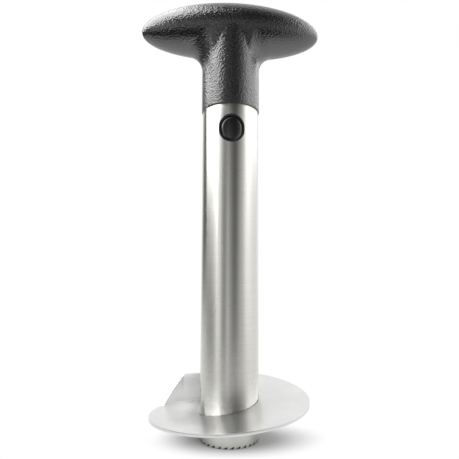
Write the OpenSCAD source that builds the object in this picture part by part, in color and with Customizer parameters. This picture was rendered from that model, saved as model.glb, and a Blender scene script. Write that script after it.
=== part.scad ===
// Pineapple corer: a toothed coring tube with a helical slicing blade and a T grip
// that pulls off when its two side buttons are pressed. Millimetres, Z up.
// The origin is on the tube's axis, level with the tooth tips. The grip's bar runs along X
// and the front button faces -Y.

/* [Tube] */
// Outer diameter of the coring tube
tube_d = 32; // [30:0.5:36]
// Thickness of the tube's wall
tube_wall = 0.8; // [0.6:0.1:1.2]
// Length of the tube from tooth tips to top rim
tube_len = 181.6; // [150:0.1:210]
// Number of saw teeth round the lower rim
tooth_count = 30; // [20:1:40]
// Depth of a tooth
tooth_depth = 1.5; // [0.8:0.1:2.5]
// Width of the flat at the tip of a tooth
tooth_land = 0.5; // [0.3:0.1:0.8]

/* [Blade] */
// Outer diameter of the slicing blade
blade_d = 86.5; // [76:0.5:95]
// Thickness of the blade's sheet
blade_t = 1.5; // [0.8:0.1:2]
// Height of the blade's top face at its leading edge
blade_z = 8.6; // [6:0.1:20]
// Rise of the blade in one full turn
blade_rise = 18.4; // [12:0.1:22]
// Direction of the leading edge, counter-clockwise from +X
lead_angle = 95; // [60:1:130]
// Sweep of the blade from its leading edge to its trailing end
blade_sweep = 352; // [300:1:354]
// Width of the bevel on top of the blade's rim
rim_bevel = 0.3; // [0.2:0.1:0.7]
// Depth of that bevel
rim_drop = 0.2; // [0.1:0.1:0.6]
// Thickness left at a sharpened edge
edge_t = 0.25; // [0.15:0.05:0.5]
// Gap between the blade's inner edge and the tube
blade_gap = 0.05; // [0.02:0.01:0.2]
// Diameter of a weld bead
weld_d = 1.8; // [1.2:0.1:2.4]

/* [Peel wall] */
// Height of the wall above the sheet
peel_h = 16.2; // [10:0.1:18]
// Thickness of the wall
peel_t = 0.8; // [0.75:0.05:1.2]
// Sweep of the wall's foot along the rim
peel_foot_sweep = 57; // [42:1:70]
// Sweep over which the wall keeps its full height
peel_top_sweep = 33; // [15:1:38]
// Width of the bend at the wall's foot
peel_bend = 0.8; // [0.3:0.1:2]

/* [Grip] */
// Length of the bar
bar_len = 104.6; // [90:0.2:125]
// Depth of the bar, front to back
bar_depth = 34.2; // [34:0.1:40]
// Height of the bar at its middle
bar_h = 31; // [26:0.5:36]
// Height of the bar's centre line above the tube's top rim
bar_rise = 49.4; // [46:0.1:60]
// How far the ends of the bar droop
bar_droop = 1.5; // [0:0.1:3]
// How far the neck stands out past the tube's surface
neck_step = 0.65; // [0.4:0.05:1]
// Radius of the fillet between neck and bar
neck_fillet = 10.5; // [5:0.5:11]
// Chamfer at the neck's lower edge
neck_chamfer = 0.4; // [0.2:0.1:0.5]
// Thickness of the grip's shell
grip_wall = 2.6; // [2:0.1:3.2]
// Length of the cover on top of the bar
cover_len = 76; // [60:1:80]
// Depth of the cover, front to back
cover_depth = 21; // [16:0.5:22]
// Width of the ledge that carries the cover
cover_ledge = 1.6; // [1:0.1:2.4]
// Gap round the cover's edge
cover_gap = 0.1; // [0.05:0.05:0.3]
// Thickness of the neck's floor
floor_t = 4; // [3:0.5:6]

/* [Latch] */
// Width of a button
button_w = 12.2; // [10:0.2:12.4]
// Height of a button
button_h = 13.8; // [12.6:0.2:15]
// Height of the tube's top rim above the middle of a button
button_drop = 14; // [13:0.1:18]
// How far a button's middle stands out past the tube's surface
button_proud = 0.25; // [0:0.05:0.3]
// Gap round a button in the tube's window
window_gap = 1; // [0.9:0.05:1.4]
// Width of the flange that keeps a button in the plug
flange_w = 1.5; // [1:0.1:1.6]
// Thickness of that flange
flange_t = 1.4; // [1:0.1:2]
// Sideways clearance of a button in the plug
button_clear = 0.1; // [0.05:0.05:0.2]
// Clearance of the plug in the tube, on the radius
plug_clear = 0.08; // [0.04:0.01:0.1]
// Thickness of the plug's wall
plug_wall = 1.6; // [1.2:0.1:1.8]
// How far the plug reaches up into the neck
plug_top = 8.2; // [7:0.1:12]
// Thickness of the plug's top plate
plate_t = 4.4; // [3:0.1:5]
// Thickness of the cap that closes the plug
cap_t = 1.8; // [1.2:0.1:2]
// Thickness of the web between the springs
web_t = 2; // [1.4:0.1:2.4]
// Radius of a guide post on the web
post_r = 1.4; // [1:0.1:1.5]
// Running clearance of a post in its button, on the radius
post_clear = 0.05; // [0.03:0.01:0.1]
// How far a button can be pressed
press_travel = 5.5; // [4:0.1:5.6]

/* [Springs and screws] */
// Wire diameter of a spring
wire_d = 0.5; // [0.4:0.05:0.6]
// Mean radius of a spring
spring_r = 3.1; // [3:0.1:4.5]
// Number of turns of a spring
spring_turns = 5; // [4:1:6]
// Diameter of a screw's shank
screw_d = 3; // [2.5:0.1:3.5]
// Length of a screw under its head
screw_len = 12; // [10:0.5:13]
// Diameter of a screw's head
screw_head_d = 5.6; // [5:0.1:6.4]
// Height of a screw's head
screw_head_h = 2; // [1.6:0.1:2.6]
// Distance of a screw from the axis as a share of the tube's radius
screw_share = 0.5; // [0.47:0.01:0.56]

/* [Hidden] */
weld_count = 9;
weld_names = [for (i = [1:weld_count]) str("weld_bead_", i)];
screw_names = ["left_screw", "right_screw"];
screw_sides = [-1, 1];
$fn = 96;
steel = "silver";
bright_steel = "gainsboro";
black_plastic = [0.12, 0.12, 0.13];
gray_plastic = [0.3, 0.3, 0.32];

// A cutting solid runs past the faces that it opens by this much
past = 1;
tube_r = tube_d / 2;
tube_ir = tube_r - tube_wall;
tooth_step = 360 / tooth_count;
tooth_pitch = 2 * PI * tube_r / tooth_count;

blade_r = blade_d / 2;
blade_ir = tube_r + blade_gap;
sheet_steps = 118;
sheet_step = blade_sweep / sheet_steps;
section_size = 7;
// Triangles that close an end of the sheet, by place in its section
section_caps = [[0, 1, 5], [0, 5, 6], [1, 4, 5], [1, 2, 4], [2, 3, 4]];

bar_z = tube_len + bar_rise;
bar_rings = 36;
bar_sides = 36;
neck_r = tube_r + neck_step;
blend_steps = 8;
blend_sides = 72;
// The blend starts this far under the neck's surface and ends this far inside the bar
blend_sink = 0.05;
blend_bury = 0.3;
// The blend stays within this share of the bar's plan
blend_reach = 0.985;
lid_t = grip_wall / 2;
// The room for the cover starts this far above the bar's centre line
cover_rise = 2;
floor_z = tube_len + plug_top;
neck_ir = neck_r - grip_wall - neck_step;

button_z = tube_len - button_drop;
plug_r = tube_ir - plug_clear;
plug_ir = plug_r - plug_wall;
socket_clear = 0.02;
flange_half = button_w / 2 + flange_w;
// The flange stops just short of the plug's round inner wall
flange_y = sqrt(plug_ir * plug_ir - flange_half * flange_half) - button_clear;
flange_back = flange_y - flange_t;
flange_room = 0.7;
plug_bottom = button_z - button_h / 2 - flange_w - flange_room - cap_t;
sleeve_wall = 0.9;
sleeve_r = post_r + sleeve_wall;
// A pressed button's sleeve stops this far from the web, and its bore this far from the post
sleeve_room = 1;
bore_room = 0.2;
sleeve_end = web_t / 2 + press_travel + sleeve_room;
post_overlap = 1.1;
post_end = sleeve_end + post_overlap;
bore_end = post_end + press_travel + bore_room;

// The button's crown falls to the tube's inner surface at its edge, so it slides under the rim
face_y = tube_r + button_proud;
crown_lip = 0.05;
crown_edge_r = tube_ir + crown_lip;
side_drop = face_y - sqrt(crown_edge_r * crown_edge_r - button_w * button_w / 4);
end_drop = face_y - crown_edge_r;
crown_side_r = (button_w * button_w / 4 + side_drop * side_drop) / (2 * side_drop);
crown_end_r = (button_h * button_h / 4 + end_drop * end_drop) / (2 * end_drop);

web_drop = 4;
web_top = tube_len - web_drop;
// Half the web's width as a share of the plug's inner radius
web_share = 0.65;
screw_x = tube_r * screw_share;
boss_wall = 1.7;
boss_r = screw_d / 2 + boss_wall;
// A boss reaches this far past the point of its screw
boss_past = 1;
boss_bottom = floor_z - screw_len + floor_t - boss_past;
// Width of a screw's hexagon socket as a share of its shank
drive_share = 0.85;
spring_span = flange_back - web_t / 2 - wire_d;
spring_rings = 12;
wire_sides = 6;

// Height of the blade's top face, s degrees past the leading edge
function sheet_z(s) = blade_z + blade_rise * s / 360;
// Height of the peel wall above the sheet, which falls to none at the end of its foot
function wall_h(s) = peel_h * min(1, (peel_foot_sweep - s) / (peel_foot_sweep - peel_top_sweep));
// Cross-section of sheet and wall, as radius and height, thinner at the leading edge
function sheet_section(s) =
    let (t = s == 0 ? edge_t : blade_t, z = sheet_z(s), h = wall_h(s), foot_r = blade_r - min(t, peel_t),
         rim = h > 0 ? [[blade_r, z + h], [foot_r, z + h], [foot_r, z + min(peel_bend, h / 2)]] :
                       [[blade_r, z - rim_drop], [blade_r - rim_bevel, z], [foot_r, z]])
    concat([[blade_ir, z - t], [blade_r, z - t]], rim, [[foot_r - peel_bend, z], [blade_ir, z]]);

// Point of the bar's surface, a degrees along it and b degrees round it, inset all over
function bar_point(a, b, inset) = [
    (bar_len / 2 - inset) * sin(a),
    (bar_depth / 2 - inset) * cos(a) * cos(b),
    bar_z - bar_droop * sin(a) * sin(a) + (bar_h / 2 - inset) * cos(a) * sin(b)
];

// Height of the bar's underside over a place in its plan
function bar_under(p) =
    let (u = 2 * p[0] / bar_len, v = 2 * p[1] / bar_depth)
    bar_z - bar_droop * u * u - bar_h / 2 * sqrt(max(0, 1 - u * u - v * v));
// Point of the neck's fillet, t from 0 on the neck to 1 on the bar, b degrees round the neck
function blend_point(t, b) =
    let (reach = neck_fillet * cos(b) * cos(b),
         out = [cos(b), sin(b)],
         end_r = min(neck_r + reach, blend_reach * bar_plan_r(b)),
         end_z = bar_under(end_r * out),
         slope = (end_z - bar_under((end_r - blend_bury) * out)) / blend_bury,
         corner_z = end_z - slope * (end_r - neck_r),
         start_z = corner_z - reach - blend_bury,
         r = neck_r - blend_sink + (end_r - neck_r + blend_sink) * t * t,
         z = start_z * (1 - t) * (1 - t) + 2 * corner_z * t * (1 - t) + (end_z + blend_bury) * t * t)
    [r * out[0], r * out[1], z];
// Radius of the bar's plan outline, b degrees round the neck
function bar_plan_r(b) = 1 / norm([2 * cos(b) / bar_len, 2 * sin(b) / bar_depth]);

// Centre line of a spring along -Y, from the web to the flange
function spring_point(i) =
    let (turn = 360 * i / spring_rings,
         y = web_t / 2 + wire_d / 2 + spring_span * i / (spring_rings * spring_turns))
    [spring_r * cos(turn), -y, spring_r * sin(turn)];
function spring_gap() =
    let (last = spring_rings * spring_turns, half = spring_rings / 2)
    min([for (i = [0:last], j = [i + half:1:last])
        norm(spring_point(i) - spring_point(j)) - wire_d]);
echo(least_gap_between_spring_turns = spring_gap());

// Upright oval in X and Z, as a prism from y0 to y1
module oval_prism(w, h, y0, y1) {
    straight = h - w;
    translate([0, y1, button_z])
        rotate([90, 0, 0])
            linear_extrude(y1 - y0) {
                translate([0, straight / 2]) circle(d = w);
                translate([0, -straight / 2]) circle(d = w);
                square([w, straight], center = true);
            }
}

// Saw notches round the lower rim, steep on the side that leads in a clockwise turn
module tooth_notches() {
    notch = [[tooth_land, -past], [tooth_land, 0], [tooth_pitch, tooth_depth], [tooth_pitch, -past]];
    for (i = [0:tooth_count - 1])
        rotate(i * tooth_step)
            translate([-tooth_pitch / 2, -tube_r + tube_wall + past, 0])
                rotate([90, 0, 0])
                    linear_extrude(tube_wall + 2 * past) polygon(notch);
}

module core_tube() {
    color(steel)
        difference() {
            cylinder(r = tube_r, h = tube_len);
            translate([0, 0, -past]) cylinder(r = tube_ir, h = tube_len + 2 * past);
            oval_prism(button_w + 2 * window_gap, button_h + 2 * window_gap,
                       -tube_r - past, tube_r + past);
            tooth_notches();
        }
}

// Helical sheet with its peel wall, swept section by section
module slicing_blade() {
    points = [for (i = [0:sheet_steps])
        let (s = i * sheet_step, turn = lead_angle + s)
        for (p = sheet_section(s)) [p[0] * cos(turn), p[0] * sin(turn), p[1]]];
    sides = [for (i = [0:sheet_steps - 1], j = [0:section_size - 1])
        let (a = i * section_size + j,
             b = i * section_size + (j + 1) % section_size)
        for (f = [[a, b, b + section_size], [a, b + section_size, a + section_size]]) f];
    first = [for (f = section_caps) [f[2], f[1], f[0]]];
    last = [for (f = section_caps) [for (k = f) sheet_steps * section_size + k]];
    color(bright_steel) polyhedron(points, concat(first, last, sides));
}

// Weld bead in the corner under the sheet, counted from the leading edge
module weld_bead(i) {
    s = blade_sweep * (i + 0.5) / weld_count;
    color(steel)
        rotate(lead_angle + s)
            translate([tube_r + weld_d / 4, 0, sheet_z(s) - blade_t - weld_d / 4])
                sphere(d = weld_d);
}

// Rounded bar, inset all over by the given amount
module bar(inset) {
    rings = [for (i = [1:bar_rings - 1], j = [0:bar_sides - 1])
        bar_point(180 * i / bar_rings - 90, 360 * j / bar_sides, inset)];
    points = concat([bar_point(-90, 0, inset)], rings, [bar_point(90, 0, inset)]);
    last = len(points) - 1;
    start_fan = [for (j = [0:bar_sides - 1]) [0, 1 + j, 1 + (j + 1) % bar_sides]];
    end_ring = last - bar_sides;
    end_fan = [for (j = [0:bar_sides - 1]) [end_ring + j, last, end_ring + (j + 1) % bar_sides]];
    skin = [for (i = [0:bar_rings - 3], j = [0:bar_sides - 1])
        let (a = 1 + i * bar_sides + j, b = 1 + i * bar_sides + (j + 1) % bar_sides)
        for (f = [[a, a + bar_sides, b + bar_sides], [a, b + bar_sides, b]]) f];
    polyhedron(points, concat(start_fan, skin, end_fan));
}

// Upright prism with an elliptic plan, from z0 up
module ellipse_prism(w, d, z0, h) {
    translate([0, 0, z0])
        linear_extrude(h)
            polygon([for (a = [0:5:355]) [w / 2 * cos(a), d / 2 * sin(a)]]);
}

// Room that the cover takes, drawn in from the given plan by a margin
module cover_prism(margin) {
    ellipse_prism(cover_len - 2 * margin, cover_depth - 2 * margin, bar_z + cover_rise, bar_h);
}

// Neck with a chamfered foot
module neck() {
    rotate_extrude()
        polygon([[0, tube_len], [neck_r - neck_chamfer, tube_len], [neck_r, tube_len + neck_chamfer],
                 [neck_r, bar_z], [0, bar_z]]);
}

// Fillet between neck and bar, full at the sides and fading out at front and back
module neck_blend() {
    rings = [for (i = [0:blend_steps], j = [0:blend_sides - 1])
        blend_point(i / blend_steps, 360 * j / blend_sides)];
    points = concat([[0, 0, blend_point(0, 0)[2] - neck_fillet]], rings, [[0, 0, bar_z]]);
    last = len(points) - 1;
    foot_fan = [for (j = [0:blend_sides - 1]) [0, 1 + j, 1 + (j + 1) % blend_sides]];
    top_ring = last - blend_sides;
    top_fan = [for (j = [0:blend_sides - 1]) [top_ring + j, last, top_ring + (j + 1) % blend_sides]];
    skin = [for (i = [0:blend_steps - 1], j = [0:blend_sides - 1])
        let (a = 1 + i * blend_sides + j, b = 1 + i * blend_sides + (j + 1) % blend_sides)
        for (f = [[a, a + blend_sides, b + blend_sides], [a, b + blend_sides, b]]) f];
    polyhedron(points, concat(foot_fan, skin, top_fan));
}

module screw_places() {
    for (side = screw_sides)
        translate([side * screw_x, 0, 0]) children();
}

module grip_body() {
    color(black_plastic)
        difference() {
            union() {
                bar(0);
                neck();
                neck_blend();
            }
            bar(grip_wall);
            cover_prism(cover_ledge);
            difference() {
                cover_prism(0);
                bar(lid_t);
            }
            translate([0, 0, tube_len - past]) cylinder(r = plug_r + socket_clear, h = plug_top + past);
            translate([0, 0, floor_z + floor_t]) cylinder(r = neck_ir, h = bar_rise - plug_top - floor_t);
            screw_places() translate([0, 0, floor_z - past]) cylinder(d = screw_d, h = floor_t + 2 * past);
        }
}

module grip_cover() {
    color(black_plastic)
        difference() {
            intersection() {
                bar(0);
                cover_prism(cover_gap);
            }
            difference() {
                bar(lid_t);
                cover_prism(cover_ledge + cover_gap);
            }
            bar(grip_wall);
        }
}

// Screw that fastens the plug to the neck's floor, on one side of the axis
module grip_screw(side) {
    color(steel)
        translate([side * screw_x, 0, floor_z + floor_t])
            difference() {
                union() {
                    translate([0, 0, -screw_len]) cylinder(d = screw_d, h = screw_len);
                    cylinder(d = screw_head_d, h = screw_head_h);
                }
                translate([0, 0, screw_head_h / 2])
                    cylinder(d = screw_d * drive_share, h = screw_head_h, $fn = 6);
            }
}

module latch_plug() {
    color(gray_plastic)
        difference() {
            union() {
                difference() {
                    translate([0, 0, plug_bottom]) cylinder(r = plug_r, h = floor_z - plug_bottom);
                    translate([0, 0, plug_bottom - past])
                        cylinder(r = plug_ir, h = floor_z - plate_t - plug_bottom + past);
                }
                screw_places()
                    translate([0, 0, boss_bottom]) cylinder(r = boss_r, h = floor_z - plate_t / 2 - boss_bottom);
            }
            oval_prism(button_w + 2 * button_clear, button_h + 2 * button_clear,
                       -plug_r - past, plug_r + past);
            screw_places() translate([0, 0, boss_bottom - past]) cylinder(d = screw_d, h = screw_len + past);
        }
}

module latch_cap() {
    color(gray_plastic) {
        translate([0, 0, plug_bottom]) cylinder(r = plug_ir - socket_clear, h = cap_t);
        translate([-plug_ir * web_share, -web_t / 2, plug_bottom + cap_t / 2])
            cube([2 * plug_ir * web_share, web_t, web_top - plug_bottom - cap_t / 2]);
        translate([0, post_end, button_z]) rotate([90, 0, 0]) cylinder(r = post_r, h = 2 * post_end);
    }
}

// Crowned button facing -Y, with its flange and the sleeve that runs on the guide post
module button() {
    difference() {
        union() {
            intersection() {
                oval_prism(button_w, button_h, -face_y - past, -flange_y + flange_t / 2);
                translate([0, crown_end_r - face_y, button_z])
                    rotate([0, 90, 0])
                        rotate_extrude() translate([crown_end_r - crown_side_r, 0]) circle(r = crown_side_r);
            }
            oval_prism(button_w + 2 * flange_w, button_h + 2 * flange_w, -flange_y, -flange_back);
            translate([0, -sleeve_end, button_z])
                rotate([90, 0, 0]) cylinder(r = sleeve_r, h = flange_y - sleeve_end);
        }
        translate([0, -sleeve_end + past, button_z])
            rotate([90, 0, 0]) cylinder(r = post_r + post_clear, h = bore_end - sleeve_end + past);
    }
}

module front_button() {
    color(black_plastic) button();
}

module rear_button() {
    color(black_plastic) rotate(180) button();
}

// Coil spring along -Y as one tube
module spring() {
    last = spring_rings * spring_turns;
    rise = spring_span / spring_turns;
    slope = atan2(rise, 2 * PI * spring_r);
    points = [for (i = [0:last], k = [0:wire_sides - 1])
        let (turn = 360 * i / spring_rings, s = 360 * k / wire_sides,
             out = [cos(turn), 0, sin(turn)],
             along = [-sin(turn) * cos(slope), -sin(slope), cos(turn) * cos(slope)])
        spring_point(i) + wire_d / 2 * (cos(s) * out + sin(s) * cross(along, out))];
    skin = [for (i = [0:last - 1], k = [0:wire_sides - 1])
        let (a = i * wire_sides + k, b = i * wire_sides + (k + 1) % wire_sides)
        for (f = [[a, a + wire_sides, b + wire_sides], [a, b + wire_sides, b]]) f];
    first_cap = [for (k = [0:wire_sides - 1]) k];
    last_cap = [for (k = [wire_sides - 1:-1:0]) last * wire_sides + k];
    translate([0, 0, button_z]) polyhedron(points, concat([first_cap, last_cap], skin));
}

module front_spring() {
    color(steel) spring();
}

module rear_spring() {
    color(steel) rotate(180) spring();
}

core_tube();
slicing_blade();
grip_body();
grip_cover();
latch_plug();
latch_cap();
front_button();
rear_button();
front_spring();
rear_spring();
for (i = [0:weld_count - 1])
    weld_bead(i);
for (i = [0:len(screw_names) - 1])
    grip_screw(screw_sides[i]);
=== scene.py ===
import math

import bmesh
import bpy
from bpy.props import FloatProperty, FloatVectorProperty, IntProperty, PointerProperty
from bpy.types import Operator, Panel, PropertyGroup
from mathutils import Matrix, Vector


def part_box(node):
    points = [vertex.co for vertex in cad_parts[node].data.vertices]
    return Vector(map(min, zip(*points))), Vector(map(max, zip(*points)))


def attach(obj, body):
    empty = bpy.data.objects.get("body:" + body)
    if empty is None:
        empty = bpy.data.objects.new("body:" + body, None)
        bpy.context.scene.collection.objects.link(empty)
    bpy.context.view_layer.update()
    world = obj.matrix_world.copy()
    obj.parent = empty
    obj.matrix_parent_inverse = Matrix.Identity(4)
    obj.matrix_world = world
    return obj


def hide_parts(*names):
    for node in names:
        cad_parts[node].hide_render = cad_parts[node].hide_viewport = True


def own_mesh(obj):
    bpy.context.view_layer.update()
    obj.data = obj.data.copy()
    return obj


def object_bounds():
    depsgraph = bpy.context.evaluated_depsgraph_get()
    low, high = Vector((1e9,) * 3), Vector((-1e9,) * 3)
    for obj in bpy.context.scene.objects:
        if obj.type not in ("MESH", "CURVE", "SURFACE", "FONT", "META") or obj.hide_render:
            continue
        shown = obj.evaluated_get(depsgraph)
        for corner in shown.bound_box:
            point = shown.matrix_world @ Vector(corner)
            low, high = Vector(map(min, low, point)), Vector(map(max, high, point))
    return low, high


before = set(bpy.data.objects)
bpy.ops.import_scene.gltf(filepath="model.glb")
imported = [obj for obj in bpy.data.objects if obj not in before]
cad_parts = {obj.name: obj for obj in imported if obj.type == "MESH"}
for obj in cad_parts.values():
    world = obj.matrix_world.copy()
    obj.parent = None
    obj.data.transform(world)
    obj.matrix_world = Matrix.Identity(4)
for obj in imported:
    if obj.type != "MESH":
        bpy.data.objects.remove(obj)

bl_info = {
    "name": "Pineapple corer",
    "version": (1, 0, 0),
    "blender": (4, 5, 0),
    "location": "3D View > Sidebar > Corer",
    "description": "Models the corer's tube, blade, grip and latch in finished form, with their materials",
    "category": "Object",
}

MM = 0.001
FULL_TURN = 2 * math.pi
UP = Vector((0, 0, 1))
ORIGIN = Vector((0, 0, 0))
CAD_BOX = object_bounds()
TUBE_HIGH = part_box("core_tube")[1]
GRIP_LOW, GRIP_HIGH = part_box("grip_body")
PLUG_LOW, PLUG_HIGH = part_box("latch_plug")
BUTTON_LOW, BUTTON_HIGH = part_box("front_button")
SPRING_LOW, SPRING_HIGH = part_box("front_spring")
WELD_NODES = sorted(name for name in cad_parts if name.startswith("weld_bead"))
SCREW_NODES = sorted(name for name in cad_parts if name.endswith("_screw"))
BUTTON_MIDDLE = (BUTTON_LOW.z + BUTTON_HIGH.z) / 2
BAR_HEIGHT = 31 * MM
# Doubles nearer than this are merged
DOUBLES = 0.001 * MM
# Points nearer than this count as one place, and slivers thinner than this are dropped
CLOSE = 0.01 * MM
# How far a cutter reaches past the face that it cuts
PAST = 1 * MM
# Rings, steps and flats of the meshes
FILLET_RINGS = 24
FILLET_STEPS = 180
BAR_SEGMENTS = 192
BAR_RINGS = 128
NECK_SEGMENTS = 256
ROUND_SEGMENTS = 192
PLUG_STEPS = 240
CROWN_RINGS = 7
WIRE_STEPS = 40
WIRE_SIDES = 14
BEAD_DIVISIONS = 4


def length(name, description, default):
    """A size in metres."""
    return FloatProperty(name=name, description=description, default=default, min=0,
                         precision=5, subtype="DISTANCE", unit="LENGTH")


def turn(name, description, degrees):
    """An angle, written in degrees."""
    return FloatProperty(name=name, description=description, default=math.radians(degrees),
                         subtype="ANGLE", unit="ROTATION")


def share(name, description, default):
    """A number between 0 and 1."""
    return FloatProperty(name=name, description=description, default=default, min=0, max=1,
                         subtype="FACTOR")


def colour(name, description, default):
    """A linear colour."""
    return FloatVectorProperty(name=name, description=description, default=default, size=3,
                               min=0, max=1, subtype="COLOR")


def place(name, description, default):
    """A point in metres."""
    return FloatVectorProperty(name=name, description=description, default=default, size=3,
                               precision=5, subtype="TRANSLATION", unit="LENGTH")


class TubeSettings(PropertyGroup):
    """Sizes of the coring tube."""
    radius: length("Radius", "Outer radius of the tube", round(TUBE_HIGH.x, 5))
    wall: length("Wall", "Thickness of the tube's wall", 0.8 * MM)
    top: length("Top", "Height of the tube's top rim", TUBE_HIGH.z)
    sides: IntProperty(name="Sides", description="Flats round the tube's mesh", default=360, min=60)
    rim_round: length("Rim round", "Rounding of the top rim's edges", 0.2 * MM)
    teeth: IntProperty(name="Teeth", description="Saw teeth round the lower rim", default=30, min=12)
    tooth_depth: length("Tooth depth", "Depth of a tooth", 1.5 * MM)
    tooth_land: length("Tooth land", "Width of the flat at the tip of a tooth", 0.5 * MM)
    window_width: length("Window width", "Width of a button window", 14.2 * MM)
    window_height: length("Window height", "Height of a button window", 15.8 * MM)


class BladeSettings(PropertyGroup):
    """Sizes of the helical slicing blade and its weld beads."""
    radius: length("Radius", "Outer radius of the blade", 43.25 * MM)
    inner_radius: length("Inner radius", "Radius of the blade's inner edge", 16.3 * MM)
    thickness: length("Thickness", "Thickness of the sheet", 1.5 * MM)
    lead_height: length("Lead height", "Height of the top face at the leading edge", 8.6 * MM)
    rise: length("Rise", "Rise of the blade in one full turn", 18.4 * MM)
    lead_angle: turn("Lead angle", "Direction of the leading edge from +X", 95)
    sweep: turn("Sweep", "Sweep from the leading edge to the trailing end", 352)
    steps: IntProperty(name="Steps", description="Sections along the sweep", default=352, min=60)
    edge_thickness: length("Edge thickness", "Thickness left at the leading edge", 0.25 * MM)
    edge_sweep: turn("Edge sweep", "Sweep of the ground leading edge", 3)
    peel_height: length("Peel wall height", "Height of the peel wall above the sheet", 16.2 * MM)
    peel_thickness: length("Peel wall thickness", "Thickness of the peel wall", 0.7 * MM)
    peel_top_sweep: turn("Peel top sweep", "Sweep over which the wall keeps its full height", 33)
    peel_foot_sweep: turn("Peel foot sweep", "Sweep of the wall's foot", 57)
    peel_bend: length("Peel bend", "Radius of the bend at the wall's foot", 0.08 * MM)
    bend_steps: IntProperty(name="Bend steps", description="Flats along the bend", default=6, min=2)
    edge_round: length("Edge round", "Rounding of the sheet's edges", 0.12 * MM)
    bead_ripple: share("Bead ripple", "Height of a weld bead's ripples, as a share of its radius", 0.07)
    bead_waves: IntProperty(name="Bead waves", description="Half waves along a weld bead", default=7, min=1)


class GripSettings(PropertyGroup):
    """Sizes of the T grip."""
    bar_length: length("Bar length", "Length of the bar", 2 * GRIP_HIGH.x)
    bar_depth: length("Bar depth", "Depth of the bar, front to back", 2 * GRIP_HIGH.y)
    bar_height: length("Bar height", "Height of the bar at its middle", BAR_HEIGHT)
    bar_centre: length("Bar centre", "Height of the bar's centre line", CAD_BOX[1].z - BAR_HEIGHT / 2)
    droop: length("Droop", "How far the ends of the bar droop", 1.5 * MM)
    neck_radius: length("Neck radius", "Radius of the neck", 16.65 * MM)
    neck_foot: length("Neck foot", "Height of the neck's lower edge", GRIP_LOW.z)
    neck_edge: length("Neck edge", "Rounding of the neck's lower edge", 0.55 * MM)
    fillet: length("Fillet", "Fillet between neck and bar at its sides", 10.5 * MM)
    lid_length: length("Lid length", "Length of the cover on top", 76 * MM)
    lid_depth: length("Lid depth", "Depth of the cover, front to back", 21 * MM)
    lid_floor: length("Lid floor", "How far the cover's seat lies above the centre line", 6 * MM)
    lid_gap: length("Lid gap", "Gap round the cover", 0.12 * MM)
    grain: length("Grain", "Size of the moulded grain", 0.97 * MM)
    voxel: length("Voxel", "Size of the cells in which bar and neck are joined", 0.5 * MM)


class LatchSettings(PropertyGroup):
    """Sizes of the plug, its buttons and its springs."""
    button_width: length("Button width", "Width of a button", 12.2 * MM)
    button_height: length("Button height", "Height of a button", 13.8 * MM)
    button_face: length("Button face", "Distance of a button's middle from the axis", 15.45 * MM)
    side_radius: length("Side radius", "Radius of a button's crown from side to side", 16 * MM)
    end_radius: length("End radius", "Radius of a button's crown from end to end", 60 * MM)
    rim_width: length("Rim width", "Width of a button's rounded rim", 1.3 * MM)
    rim_drop: length("Rim drop", "How far a button's rim falls", 0.75 * MM)
    flange_width: length("Flange width", "How far a button's flange stands out", 1.5 * MM)
    flange_thickness: length("Flange thickness", "Thickness of a button's flange", 1.4 * MM)
    flange_face: length("Flange face", "Distance of a flange's outer face from the axis", 11.08 * MM)
    sleeve_radius: length("Sleeve radius", "Outer radius of a button's sleeve", 2.3 * MM)
    sleeve_bore: length("Sleeve bore", "Bore of a button's sleeve", 1.45 * MM)
    sleeve_end: length("Sleeve end", "Distance of a sleeve's end from the axis", 7.5 * MM)
    bore_end: length("Bore end", "Distance of the end of a button's bore from the axis", 14.3 * MM)
    plug_wall: length("Plug wall", "Thickness of the plug's wall", 1.6 * MM)
    plug_plate: length("Plug plate", "Thickness of the plug's top plate", 4.4 * MM)
    plug_clear: length("Plug clearance", "Gap round a button in the plug", 0.1 * MM)
    plug_round: length("Plug round", "Rounding of the plug's lower edge", 0.3 * MM)
    cap_thickness: length("Cap thickness", "Thickness of the plug's cap", 1.8 * MM)
    cap_round: length("Cap round", "Rounding of the edges of the cap, its web and its posts", 0.25 * MM)
    web_thickness: length("Web thickness", "Thickness of the web between the springs", 2 * MM)
    web_width: length("Web width", "Width of the web between the springs", 17.57 * MM)
    post_radius: length("Post radius", "Radius of a guide post", 1.4 * MM)
    post_end: length("Post end", "Distance of a guide post's end from the axis", 8.6 * MM)
    wire_radius: length("Wire radius", "Radius of the spring wire", 0.25 * MM)
    spring_radius: length("Spring radius", "Mean radius of a spring", 3.1 * MM)
    spring_turns: IntProperty(name="Spring turns", description="Turns of a spring", default=5, min=2)
    spring_left: share("Spring left", "Share of a spring's length left when it is pressed", 0.366)


class FinishSettings(PropertyGroup):
    """Colours of the finishes."""
    tube_steel: colour("Tube steel", "Brushed steel of the tube", (0.64, 0.635, 0.602))
    blade_steel: colour("Blade steel", "Satin steel of the blade", (0.72, 0.72, 0.715))
    weld_steel: colour("Weld steel", "Dull steel of the weld", (0.42, 0.41, 0.4))
    screw_zinc: colour("Screw zinc", "Zinc plating of the screws", (0.55, 0.57, 0.6))
    spring_steel: colour("Spring steel", "Drawn wire of the springs", (0.5, 0.5, 0.51))
    grip_black: colour("Grip black", "Grained plastic of the grip", (0.003, 0.0032, 0.0032))
    button_black: colour("Button black", "Polished plastic of the buttons", (0.006, 0.006, 0.0065))
    plug_gray: colour("Plug gray", "Plain plastic of the plug", (0.035, 0.035, 0.037))
    floor_white: colour("Floor white", "Pale floor", (0.63, 0.63, 0.63))


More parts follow.
